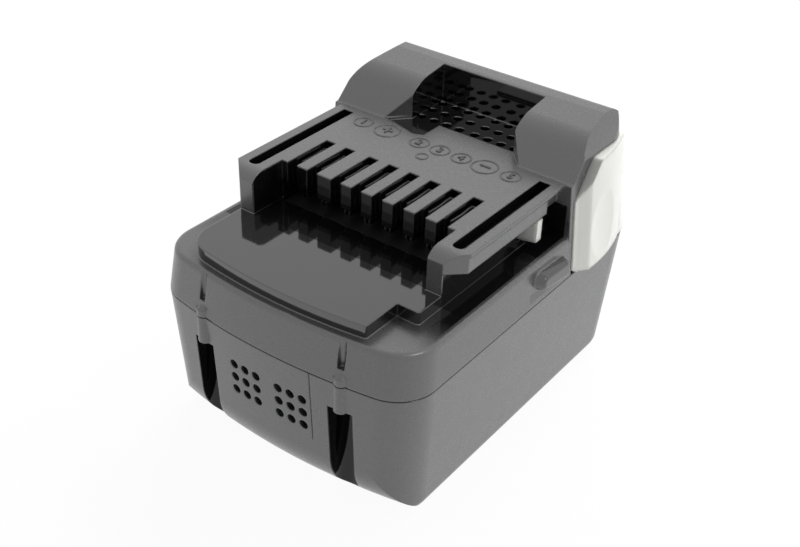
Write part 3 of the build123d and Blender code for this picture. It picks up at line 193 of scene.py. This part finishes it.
def moulded_case_plastic():
    """PC/ABS blend, black in the mass and injection moulded: satin, so that it takes its grey
    from the bright studio round it and goes black wherever it faces another part of itself.

    The raised deck is polished black and mirrors the comb and the rail flanges sharply. The
    recesses, the case joint and the rim under the flanges are painted near black and glossy as
    painted shade, and the side bumps are painted the same; the deep spaces are painted darker
    still, with a weaker painted reflection."""
    flow_size, sheen_size, grain_size = 18.0, 3.0, 0.6       # millimetres
    edge_radius, grain_depth = 0.5, 0.0008                   # millimetres
    satin_low, satin_high, polish = 0.26, 0.30, 0.06         # roughness
    skin_index, deep_shade_index = 1.95, 1.40                      # index of refraction
    # near black: black polish on the raised deck, painted shade in the recesses, at the joint and
    # under the flanges
    polish_and_shade_black = linear("#101011")
    material, tree, shader, place = new_material("pc_abs_moulded_black")
    surface = shader.outputs[0].links[0].to_socket
    axes = add_node(tree, "ShaderNodeSeparateXYZ", inputs={0: place})
    across = add_node(tree, "ShaderNodeMath", {"operation": "ABSOLUTE"}, {0: axes.outputs[0]})
    spans = {"across": across.outputs[0], "along": axes.outputs[1], "up": axes.outputs[2]}

    # where the case is painted near black: black polish on the raised deck, painted shade
    # elsewhere;
    # the rim's painted shade fades in from the front
    deep_shade = any_of(tree, [inside_box(tree, spans, box) for box in painted_shade_deep_boxes.values()])
    fade = add_node(
        tree,
        "ShaderNodeMapRange",
        inputs={
            0: spans["along"],
            FROM_LOW: rim_shade_fade[0] * MM,
            FROM_HIGH: rim_shade_fade[1] * MM,
            TO_LOW: 0.0,
            TO_HIGH: 1.0,
        },
    )
    rim_shade_mask = add_node(
        tree,
        "ShaderNodeMath",
        {"operation": "MULTIPLY"},
        {0: inside_box(tree, spans, rim_shade_box), 1: fade.outputs[0]},
    )
    masks = [inside_box(tree, spans, box) for box in polish_and_shade_boxes.values()]
    polish_and_shade = any_of(tree, [*masks, rim_shade_mask.outputs[0], deep_shade])

    # flow clouds; the polished deck and the painted shade are near black
    cloud = add_node(
        tree,
        "ShaderNodeTexNoise",
        inputs={"Vector": place, "Scale": 1 / (flow_size * MM), "Detail": 2.0},
    )
    satin_black = add_node(
        tree,
        "ShaderNodeMix",
        {"data_type": "RGBA"},
        {0: cloud.outputs[0], COLOUR_A: linear("#444446"), COLOUR_B: linear("#4a4a4b")},
    )
    colour = add_node(
        tree,
        "ShaderNodeMix",
        {"data_type": "RGBA"},
        {0: polish_and_shade, COLOUR_A: satin_black.outputs[COLOUR_OUT], COLOUR_B: polish_and_shade_black},
    )
    tree.links.new(colour.outputs[COLOUR_OUT], shader.inputs["Base Color"])

    # the satin varies in small patches
    patch = add_node(
        tree,
        "ShaderNodeTexNoise",
        inputs={"Vector": place, "Scale": 1 / (sheen_size * MM), "Detail": 4.0},
    )
    satin = add_node(
        tree,
        "ShaderNodeMapRange",
        inputs={
            0: patch.outputs[0],
            FROM_LOW: NOISE_LOW,
            FROM_HIGH: NOISE_HIGH,
            TO_LOW: satin_low,
            TO_HIGH: satin_high,
        },
    )
    rough = add_node(
        tree, "ShaderNodeMix", inputs={0: polish_and_shade, VALUE_A: satin.outputs[0], VALUE_B: polish}
    )
    tree.links.new(rough.outputs[0], shader.inputs["Roughness"])

    # spark-eroded grain, left off the polished and painted-shade faces; edges rounded by the mould
    grain = add_node(
        tree,
        "ShaderNodeTexNoise",
        inputs={"Vector": place, "Scale": 1 / (grain_size * MM), "Detail": 1.0},
    )
    matt = add_node(tree, "ShaderNodeMath", {"operation": "SUBTRACT"}, {0: 1.0, 1: polish_and_shade})
    height = add_node(
        tree,
        "ShaderNodeMath",
        {"operation": "MULTIPLY"},
        {0: grain.outputs[0], 1: matt.outputs[0]},
    )
    edge = add_node(tree, "ShaderNodeBevel", {"samples": 8}, {"Radius": edge_radius * MM})
    relief = add_node(
        tree,
        "ShaderNodeBump",
        inputs={
            "Height": height.outputs[0],
            "Distance": grain_depth * MM,
            "Normal": edge.outputs[0],
        },
    )
    tree.links.new(relief.outputs[0], shader.inputs["Normal"])

    # the skin of resin over the pigment mirrors strongly; the deep spaces get painted shade
    # instead:
    # a near black shader with a weaker painted reflection
    shader.inputs["IOR"].default_value = skin_index
    deep_shade_shader = add_node(
        tree,
        "ShaderNodeBsdfPrincipled",
        inputs={
            "Base Color": polish_and_shade_black,
            "Roughness": polish,
            "IOR": deep_shade_index,
            "Normal": relief.outputs[0],
        },
    )
    deep_shade_mix = add_node(
        tree, "ShaderNodeMixShader", inputs={0: deep_shade, 1: shader.outputs[0], 2: deep_shade_shader.outputs[0]}
    )
    tree.links.new(deep_shade_mix.outputs[0], surface)
    return material


def moulded_button_plastic():
    """ABS in warm off-white, injection moulded in a polished tool: soft sheen, well rounded
    edges and faint sink clouds."""
    sink_size, sheen_size = 12.0, 2.5                        # millimetres
    edge_radius, sink_depth = 1.5, 0.05                      # millimetres
    sheen_low, sheen_high = 0.30, 0.38                       # roughness
    material, tree, shader, place = new_material("abs_moulded_off_white")
    cloud = add_node(
        tree,
        "ShaderNodeTexNoise",
        inputs={"Vector": place, "Scale": 1 / (sink_size * MM), "Detail": 3.0},
    )
    colour = add_node(
        tree,
        "ShaderNodeMix",
        {"data_type": "RGBA"},
        {0: cloud.outputs[0], COLOUR_A: linear("#d0d0cb"), COLOUR_B: linear("#d6d6d1")},
    )
    tree.links.new(colour.outputs[COLOUR_OUT], shader.inputs["Base Color"])
    patch = add_node(
        tree,
        "ShaderNodeTexNoise",
        inputs={"Vector": place, "Scale": 1 / (sheen_size * MM), "Detail": 3.0},
    )
    sheen = add_node(
        tree,
        "ShaderNodeMapRange",
        inputs={
            0: patch.outputs[0],
            FROM_LOW: NOISE_LOW,
            FROM_HIGH: NOISE_HIGH,
            TO_LOW: sheen_low,
            TO_HIGH: sheen_high,
        },
    )
    tree.links.new(sheen.outputs[0], shader.inputs["Roughness"])
    edge = add_node(tree, "ShaderNodeBevel", {"samples": 12}, {"Radius": edge_radius * MM})
    relief = add_node(
        tree,
        "ShaderNodeBump",
        inputs={
            "Height": cloud.outputs[0],
            "Distance": sink_depth * MM,
            "Normal": edge.outputs[0],
        },
    )
    tree.links.new(relief.outputs[0], shader.inputs["Normal"])
    shader.inputs["IOR"].default_value = 1.53
    return material


def matt_plastic(name, colour, second, roughness, grain_mm):
    """Filled engineering plastic, injection moulded: matt, with a fine fibre grain."""
    flow_size, fibre_depth = 6.0, 0.02                       # millimetres
    spread = 0.06                                            # of the roughness, both ways
    material, tree, shader, place = new_material(name)
    cloud = add_node(
        tree,
        "ShaderNodeTexNoise",
        inputs={"Vector": place, "Scale": 1 / (flow_size * MM), "Detail": 3.0},
    )
    mixed = add_node(
        tree,
        "ShaderNodeMix",
        {"data_type": "RGBA"},
        {0: cloud.outputs[0], COLOUR_A: linear(colour), COLOUR_B: linear(second)},
    )
    tree.links.new(mixed.outputs[COLOUR_OUT], shader.inputs["Base Color"])
    fibres = add_node(
        tree,
        "ShaderNodeTexNoise",
        inputs={"Vector": place, "Scale": 1 / (grain_mm * MM), "Detail": 2.0},
    )
    dull = add_node(
        tree,
        "ShaderNodeMapRange",
        inputs={
            0: fibres.outputs[0],
            FROM_LOW: NOISE_LOW,
            FROM_HIGH: NOISE_HIGH,
            TO_LOW: roughness - spread,
            TO_HIGH: roughness + spread,
        },
    )
    tree.links.new(dull.outputs[0], shader.inputs["Roughness"])
    relief = add_node(
        tree,
        "ShaderNodeBump",
        inputs={"Height": fibres.outputs[0], "Distance": fibre_depth * MM},
    )
    tree.links.new(relief.outputs[0], shader.inputs["Normal"])
    return material


def drawn_metal(name, colour, second, roughness, streak_mm):
    """Rolled or drawn metal: fine streaks along Y and slight stain clouds."""
    stain_size, streak_depth = 5.0, 0.01                     # millimetres
    stretch = 0.08                                           # of the pattern along a streak
    spread = 0.08                                            # of the roughness, both ways
    material, tree, shader, place = new_material(name)
    along = add_node(
        tree, "ShaderNodeMapping", inputs={"Vector": place, "Scale": (1.0, stretch, 1.0)}
    )
    streaks = add_node(
        tree,
        "ShaderNodeTexNoise",
        inputs={"Vector": along.outputs[0], "Scale": 1 / (streak_mm * MM), "Detail": 4.0},
    )
    stain = add_node(
        tree,
        "ShaderNodeTexNoise",
        inputs={"Vector": place, "Scale": 1 / (stain_size * MM), "Detail": 3.0},
    )
    mixed = add_node(
        tree,
        "ShaderNodeMix",
        {"data_type": "RGBA"},
        {0: stain.outputs[0], COLOUR_A: linear(colour), COLOUR_B: linear(second)},
    )
    tree.links.new(mixed.outputs[COLOUR_OUT], shader.inputs["Base Color"])
    dull = add_node(
        tree,
        "ShaderNodeMapRange",
        inputs={
            0: streaks.outputs[0],
            FROM_LOW: NOISE_LOW,
            FROM_HIGH: NOISE_HIGH,
            TO_LOW: roughness - spread,
            TO_HIGH: roughness + spread,
        },
    )
    tree.links.new(dull.outputs[0], shader.inputs["Roughness"])
    relief = add_node(
        tree,
        "ShaderNodeBump",
        inputs={"Height": streaks.outputs[0], "Distance": streak_depth * MM},
    )
    tree.links.new(relief.outputs[0], shader.inputs["Normal"])
    shader.inputs["Metallic"].default_value = 1.0
    return material


def shrink_sleeve():
    """PVC sleeve shrunk over a cell: glossy, with faint stretch bands; its steel ends stay bare."""
    bands_per_mm, band_sway, band_depth = 0.05, 3.0, 0.02    # one band every 6 mm
    material, tree, shader, place = new_material("pvc_shrink_sleeve_teal")
    axes = add_node(tree, "ShaderNodeSeparateXYZ", inputs={0: place})
    inside = add_node(
        tree,
        "ShaderNodeMath",
        {"operation": "COMPARE"},
        {0: axes.outputs[0], 1: 0.0, 2: sleeve_half_length * MM},
    )
    bands = add_node(
        tree,
        "ShaderNodeTexWave",
        {"bands_direction": "X"},
        {"Vector": place, "Scale": bands_per_mm / MM, "Distortion": band_sway},
    )
    sleeve = add_node(
        tree,
        "ShaderNodeMix",
        {"data_type": "RGBA"},
        {0: bands.outputs[1], COLOUR_A: linear("#1f6f8f"), COLOUR_B: linear("#237a9b")},
    )
    colour = add_node(
        tree,
        "ShaderNodeMix",
        {"data_type": "RGBA"},
        {0: inside.outputs[0], COLOUR_A: linear("#b9b7b0"), COLOUR_B: sleeve.outputs[COLOUR_OUT]},
    )
    tree.links.new(colour.outputs[COLOUR_OUT], shader.inputs["Base Color"])
    steel = add_node(
        tree, "ShaderNodeMath", {"operation": "SUBTRACT"}, {0: 1.0, 1: inside.outputs[0]}
    )
    tree.links.new(steel.outputs[0], shader.inputs["Metallic"])
    shader.inputs["Roughness"].default_value = 0.25
    relief = add_node(
        tree, "ShaderNodeBump", inputs={"Height": bands.outputs[1], "Distance": band_depth * MM}
    )
    tree.links.new(relief.outputs[0], shader.inputs["Normal"])
    return material


def circuit_laminate():
    """FR4 glass-epoxy laminate under green solder mask: glossy, with the tracks' relief."""
    fields_per_mm, track_depth = 0.45, 0.03                  # one copper field every 2 mm
    field_edge, track_edge = 0.4, 0.5                        # of the distance across a field
    material, tree, shader, place = new_material("fr4_solder_mask_green")
    tracks = add_node(
        tree,
        "ShaderNodeTexVoronoi",
        {"feature": "F1", "distance": "MANHATTAN"},
        {"Vector": place, "Scale": fields_per_mm / MM},
    )
    line = add_node(
        tree,
        "ShaderNodeMapRange",
        inputs={
            0: tracks.outputs[0],
            FROM_LOW: field_edge,
            FROM_HIGH: track_edge,
            TO_LOW: 0.0,
            TO_HIGH: 1.0,
        },
    )
    colour = add_node(
        tree,
        "ShaderNodeMix",
        {"data_type": "RGBA"},
        {0: line.outputs[0], COLOUR_A: linear("#1d5a2c"), COLOUR_B: linear("#184a25")},
    )
    tree.links.new(colour.outputs[COLOUR_OUT], shader.inputs["Base Color"])
    shader.inputs["Roughness"].default_value = 0.3
    relief = add_node(
        tree, "ShaderNodeBump", inputs={"Height": line.outputs[0], "Distance": track_depth * MM}
    )
    tree.links.new(relief.outputs[0], shader.inputs["Normal"])
    return material


def foam_rubber():
    """Closed-cell EPDM foam strip, cut from sheet: dull black with fine open pores."""
    pore_size, pore_depth = 0.5, 0.08                        # millimetres
    material, tree, shader, place = new_material("epdm_foam_black")
    pores = add_node(
        tree, "ShaderNodeTexVoronoi", inputs={"Vector": place, "Scale": 1 / (pore_size * MM)}
    )
    colour = add_node(
        tree,
        "ShaderNodeMix",
        {"data_type": "RGBA"},
        {0: pores.outputs[0], COLOUR_A: linear("#141414"), COLOUR_B: linear("#2a2a2a")},
    )
    tree.links.new(colour.outputs[COLOUR_OUT], shader.inputs["Base Color"])
    shader.inputs["Roughness"].default_value = 0.9
    relief = add_node(
        tree, "ShaderNodeBump", inputs={"Height": pores.outputs[0], "Distance": pore_depth * MM}
    )
    tree.links.new(relief.outputs[0], shader.inputs["Normal"])
    return material


case_plastic = moulded_case_plastic()
button_plastic = moulded_button_plastic()
# glass-filled PA66, injection moulded: matt black with fibres near the skin
holder_nylon = matt_plastic(
    "pa66_glass_filled_black", "#161617", "#1e1e1f", roughness=0.62, grain_mm=0.35
)
# PBT, injection moulded: a little smoother than nylon
terminal_pbt = matt_plastic(
    "pbt_moulded_black", "#141415", "#19191a", roughness=0.45, grain_mm=0.2
)
# black epoxy pressed round a component: dull, with a fine sand grain
epoxy_part = matt_plastic(
    "epoxy_moulded_component", "#1b1b1b", "#222222", roughness=0.55, grain_mm=0.15
)
# vulcanised fibre, cut from sheet: a dense greyish-tan paper board
fibre_sheet = matt_plastic(
    "vulcanised_fibre_sheet", "#a2927a", "#b0a088", roughness=0.7, grain_mm=0.4
)
# nickel-plated bronze of the fork contacts, stamped; darker than bright nickel, as painted shade
# for the deep slots they sit in
contact_metal = drawn_metal(
    "nickel_plated_bronze", "#6a6a69", "#7c7c7a", roughness=0.34, streak_mm=0.15
)
# nickel strip, rolled and slit: silvery with long fine lines
nickel_strip = drawn_metal(
    "nickel_strip_rolled", "#b4b1aa", "#c2bfb8", roughness=0.3, streak_mm=0.12
)
# steel screws, cold headed and zinc plated black: dark, with a soft metallic glint
screw_steel = drawn_metal(
    "black_zinc_screw_steel", "#3a3a3c", "#4a4a4c", roughness=0.38, streak_mm=0.2
)
# music wire, drawn bright: a clear glint along each turn
spring_steel = drawn_metal(
    "music_wire_drawn", "#8d8d90", "#a0a0a2", roughness=0.28, streak_mm=0.08
)
sleeve_pvc = shrink_sleeve()
laminate = circuit_laminate()
foam = foam_rubber()

# Finish by the start of a node's name; where two starts fit, the longer one stands first
finishes = {
    "upper_case": case_plastic,
    "lower_case": case_plastic,
    "latch_spring": spring_steel,
    "latch": button_plastic,
    "terminal_holder": terminal_pbt,
    "circuit_board": laminate,
    "board_tray": holder_nylon,
    "board_screws": screw_steel,
    "case_screws": screw_steel,
    "control_chip": epoxy_part,
    "power_transistors": epoxy_part,
    "foam_pads": foam,
    "contact": contact_metal,
    "cell_holder": holder_nylon,
    "cell": sleeve_pvc,
    "strip": nickel_strip,
    "insulating_sheet": fibre_sheet,
}
for name, piece in nodes.items():
    look = next(finish for start, finish in finishes.items() if name.startswith(start))
    if not piece.data.materials:
        piece.data.materials.append(look)
    for index in range(len(piece.data.materials)):
        piece.data.materials[index] = look


# Pieces grown by Geometry Nodes


def new_growth(name, sizes, finish):
    """Empty Geometry Nodes tree that takes points, these named sizes and a finish."""
    tree = bpy.data.node_groups.new(name, "GeometryNodeTree")
    kinds = {"Geometry": "NodeSocketGeometry", finish: "NodeSocketMaterial"}
    for title in ("Geometry", *sizes, finish):
        kind = kinds.get(title, "NodeSocketFloat")
        tree.interface.new_socket(title, in_out="INPUT", socket_type=kind)
    tree.interface.new_socket("Geometry", in_out="OUTPUT", socket_type="NodeSocketGeometry")
    return tree, add_node(tree, "NodeGroupInput").outputs


def stand_on_points(tree, given, shape, finish):
    """End of a tree: a copy of the shape on each point, made real and given its finish."""
    copies = add_node(
        tree,
        "GeometryNodeInstanceOnPoints",
        inputs={"Points": given["Geometry"], "Instance": shape},
    )
    solid = add_node(tree, "GeometryNodeRealizeInstances", inputs={0: copies.outputs[0]})
    coloured = add_node(
        tree,
        "GeometryNodeSetMaterial",
        inputs={"Geometry": solid.outputs[0], "Material": given[finish]},
    )
    add_node(tree, "NodeGroupOutput", inputs={0: coloured.outputs[0]})


def plain_piece(name, grown):
    """Plain mesh object at the origin from an object's evaluated shape."""
    grown_now = grown.evaluated_get(bpy.context.evaluated_depsgraph_get())
    mesh = bpy.data.meshes.new_from_object(grown_now)
    mesh.transform(grown.matrix_world)
    bpy.data.objects.remove(grown)
    mesh.name = name
    piece = bpy.data.objects.new(name, mesh)
    bpy.context.scene.collection.objects.link(piece)
    return piece


def grown_piece(name, seed, place, tree, values):
    """Plain piece that a node tree grows from these points, with its named sizes."""
    mesh = bpy.data.meshes.new(name + "_points")
    mesh.from_pydata(seed, [], [])
    holder = bpy.data.objects.new(name + "_points", mesh)
    bpy.context.scene.collection.objects.link(holder)
    holder.matrix_world = place
    grow = holder.modifiers.new(name, "NODES")
    grow.node_group = tree
    for item in tree.interface.items_tree:
        if item.in_out == "INPUT" and item.name in values:
            grow[item.identifier] = values[item.name]
    bpy.context.view_layer.update()
    return plain_piece(name, holder)


# Marks moulded on the contact plate


def ring_tree():
    """Raised round rings, one on each point of the mesh that it is given."""
    tree, given = new_growth("moulded_rings", ("Ring radius", "Line radius"), "Plastic")
    ring = add_node(
        tree,
        "GeometryNodeCurvePrimitiveCircle",
        inputs={"Resolution": ring_steps, "Radius": given["Ring radius"]},
    )
    line = add_node(
        tree,
        "GeometryNodeCurvePrimitiveCircle",
        inputs={"Resolution": line_steps, "Radius": given["Line radius"]},
    )
    tube = add_node(
        tree,
        "GeometryNodeCurveToMesh",
        inputs={"Curve": ring.outputs[0], "Profile Curve": line.outputs[0]},
    )
    stand_on_points(tree, given, tube.outputs[0], "Plastic")
    return tree


def moulded_rings(name, places, ring_radius):
    """Rings of one size at these places on the plate."""
    points = [(x * MM, y * MM, plate_height * MM) for x, y in places]
    values = {
        "Ring radius": ring_radius * MM,
        "Line radius": ring_line_radius * MM,
        "Plastic": case_plastic,
    }
    return grown_piece(name, points, Matrix(), rings_tree, values)


def moulded_mark(name, word, place, height):
    """Raised number or sign, made a mesh and stood on the plate."""
    curve = bpy.data.curves.new(name, "FONT")
    curve.body = word
    curve.align_x = "CENTER"
    curve.align_y = "CENTER"
    curve.size = height * MM
    curve.extrude = mark_rise * MM
    curve.materials.append(case_plastic)
    text = bpy.data.objects.new(name, curve)
    bpy.context.scene.collection.objects.link(text)
    text.matrix_world = Matrix.Translation((place * MM, mark_row * MM, plate_height * MM))
    bpy.context.view_layer.update()
    return plain_piece(name, text)


rings_tree = ring_tree()
marks = [
    moulded_rings("number_rings", [(x, mark_row) for x in number_places], number_ring_radius),
    moulded_rings("sign_rings", [(x, mark_row) for x in sign_places], sign_ring_radius),
    moulded_rings("ejector_ring", [ejector_place], ejector_ring_radius),
]
for number, place in enumerate(number_places, start=1):
    marks.append(moulded_mark(f"number_{number}", str(number), place, number_height))
marks.append(moulded_mark("plus_sign", "+", sign_places[0], sign_height))
marks.append(moulded_mark("minus_sign", "−", sign_places[1], sign_height))
for mark in marks:
    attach(mark, "pack")


# Latch springs


def coil_tree():
    """Coil of round wire that rises from the point it is given."""
    sizes = ("Coil radius", "Wire radius", "Height", "Turns")
    tree, given = new_growth("wound_coil", sizes, "Steel")
    winding = add_node(
        tree,
        "GeometryNodeCurveSpiral",
        inputs={
            "Resolution": coil_steps,
            "Rotations": given["Turns"],
            "Start Radius": given["Coil radius"],
            "End Radius": given["Coil radius"],
            "Height": given["Height"],
        },
    )
    wire = add_node(
        tree,
        "GeometryNodeCurvePrimitiveCircle",
        inputs={"Resolution": wire_steps, "Radius": given["Wire radius"]},
    )
    drawn = add_node(
        tree,
        "GeometryNodeCurveToMesh",
        inputs={"Curve": winding.outputs[0], "Profile Curve": wire.outputs[0], "Fill Caps": True},
    )
    smooth = add_node(tree, "GeometryNodeSetShadeSmooth", inputs={0: drawn.outputs[0]})
    stand_on_points(tree, given, smooth.outputs[0], "Steel")
    return tree


winding_tree = coil_tree()
coil_values = {
    "Coil radius": coil_radius * MM,
    "Wire radius": coil_wire_radius * MM,
    "Height": (coil_end - coil_start) * MM,
    "Turns": coil_turns,
    "Steel": spring_steel,
}
for side, hand in ((-1, "left"), (1, "right")):
    stand = Matrix.Translation((side * coil_start * MM, coil_place[0] * MM, coil_place[1] * MM))
    lie = Matrix.Rotation(side * math.pi / 2, 4, "Y")
    coil = grown_piece(f"wound_spring_{hand}", [(0, 0, 0)], stand @ lie, winding_tree, coil_values)
    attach(coil, "pack")
    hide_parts(f"latch_spring_{hand}")
    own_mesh(coil)


# Stage, light and camera, with lengths in metres

floor_half = 3.0
floor_drop = -0.0002         # just clear of the pack's base
floor_lit_share = 0.95       # the rest shows the shadow
room_strength = 0.20         # light that the room itself throws on the pack
white_strength = 1.0
lamp_target = Vector((0, 0, 0.04))


def seen_directly(tree):
    """Mask that is 1 for rays from the camera, from a mirroring face or through a clear one."""
    path = add_node(tree, "ShaderNodeLightPath").outputs
    rays = ("Is Camera Ray", "Is Glossy Ray", "Is Transmission Ray")
    return any_of(tree, [path[ray] for ray in rays])


def studio_card():
    """White studio card, sprayed matt. The camera and mirror-like faces see it lit to white,
    with the object's shadow left faintly on it."""
    material = bpy.data.materials.new("studio_card_white")
    material.use_nodes = True
    tree = material.node_tree
    tree.nodes.clear()
    card = add_node(tree, "ShaderNodeBsdfDiffuse", inputs={"Color": linear("#f2f2f2")})
    glow = add_node(
        tree, "ShaderNodeEmission", inputs={"Color": linear("#ffffff"), "Strength": white_strength}
    )
    share = add_node(
        tree,
        "ShaderNodeMath",
        {"operation": "MULTIPLY"},
        {0: seen_directly(tree), 1: floor_lit_share},
    )
    mix = add_node(
        tree,
        "ShaderNodeMixShader",
        inputs={0: share.outputs[0], 1: card.outputs[0], 2: glow.outputs[0]},
    )
    add_node(tree, "ShaderNodeOutputMaterial", inputs={0: mix.outputs[0]})
    return material


floor_mesh = bpy.data.meshes.new("studio_floor")
corners = [(-1, -1), (1, -1), (1, 1), (-1, 1)]
floor_mesh.from_pydata(
    [(x * floor_half, y * floor_half, floor_drop) for x, y in corners], [], [(0, 1, 2, 3)]
)
floor = bpy.data.objects.new("studio_floor", floor_mesh)
bpy.context.scene.collection.objects.link(floor)
floor.data.materials.append(studio_card())

world = bpy.data.worlds.new("studio")
bpy.context.scene.world = world
world.use_nodes = True
sky = world.node_tree
sky.nodes.clear()
room = add_node(
    sky, "ShaderNodeBackground", inputs={"Color": linear("#ffffff"), "Strength": room_strength}
)
white = add_node(
    sky, "ShaderNodeBackground", inputs={"Color": linear("#ffffff"), "Strength": white_strength}
)
mix = add_node(
    sky,
    "ShaderNodeMixShader",
    inputs={0: seen_directly(sky), 1: room.outputs[0], 2: white.outputs[0]},
)
add_node(sky, "ShaderNodeOutputWorld", inputs={0: mix.outputs[0]})


def softbox(name, place, size, watts, mirrored):
    """Soft lamp aimed at the middle of the pack; glossy faces show it only when mirrored."""
    lamp = bpy.data.lights.new(name, "AREA")
    lamp.shape = "RECTANGLE"
    lamp.size, lamp.size_y = size
    lamp.energy = watts
    box = bpy.data.objects.new(name, lamp)
    box.location = place
    box.visible_glossy = mirrored
    aim = lamp_target - Vector(place)
    box.rotation_euler = aim.to_track_quat("-Z", "Y").to_euler()
    bpy.context.scene.collection.objects.link(box)


softbox("top_softbox", place=(-0.15, 0.80, 0.65), size=(0.9, 0.7), watts=18.0, mirrored=False)
softbox("edge_softbox", place=(0.48, 0.03, 0.78), size=(0.22, 0.22), watts=0.8, mirrored=True)
softbox("left_softbox", place=(-0.90, -0.22, 0.12), size=(0.5, 0.5), watts=3.0, mirrored=False)
softbox("right_softbox", place=(0.80, 0.50, 0.25), size=(0.5, 0.6), watts=4.6, mirrored=False)

# Camera matched to the photograph, with its focal length in pixels of the picture
focal_pixels = 1211.14
picture_width = 800
camera_data = bpy.data.cameras.new("camera")
camera_data.sensor_width = 36.0
camera_data.lens = focal_pixels * camera_data.sensor_width / picture_width
camera_data.clip_start = 0.01
camera = bpy.data.objects.new("camera", camera_data)
right = Vector((0.80132, 0.59742, 0.03127))
up = Vector((-0.35177, 0.42826, 0.83238))
back = Vector((0.48389, -0.67800, 0.55332))
turn = Matrix((right, up, back)).transposed()
camera.matrix_world = Matrix.Translation((0.15158, -0.21501, 0.20529)) @ turn.to_4x4()
bpy.context.scene.collection.objects.link(camera)
bpy.context.scene.camera = camera
bpy.context.scene.view_settings.view_transform = "Standard"
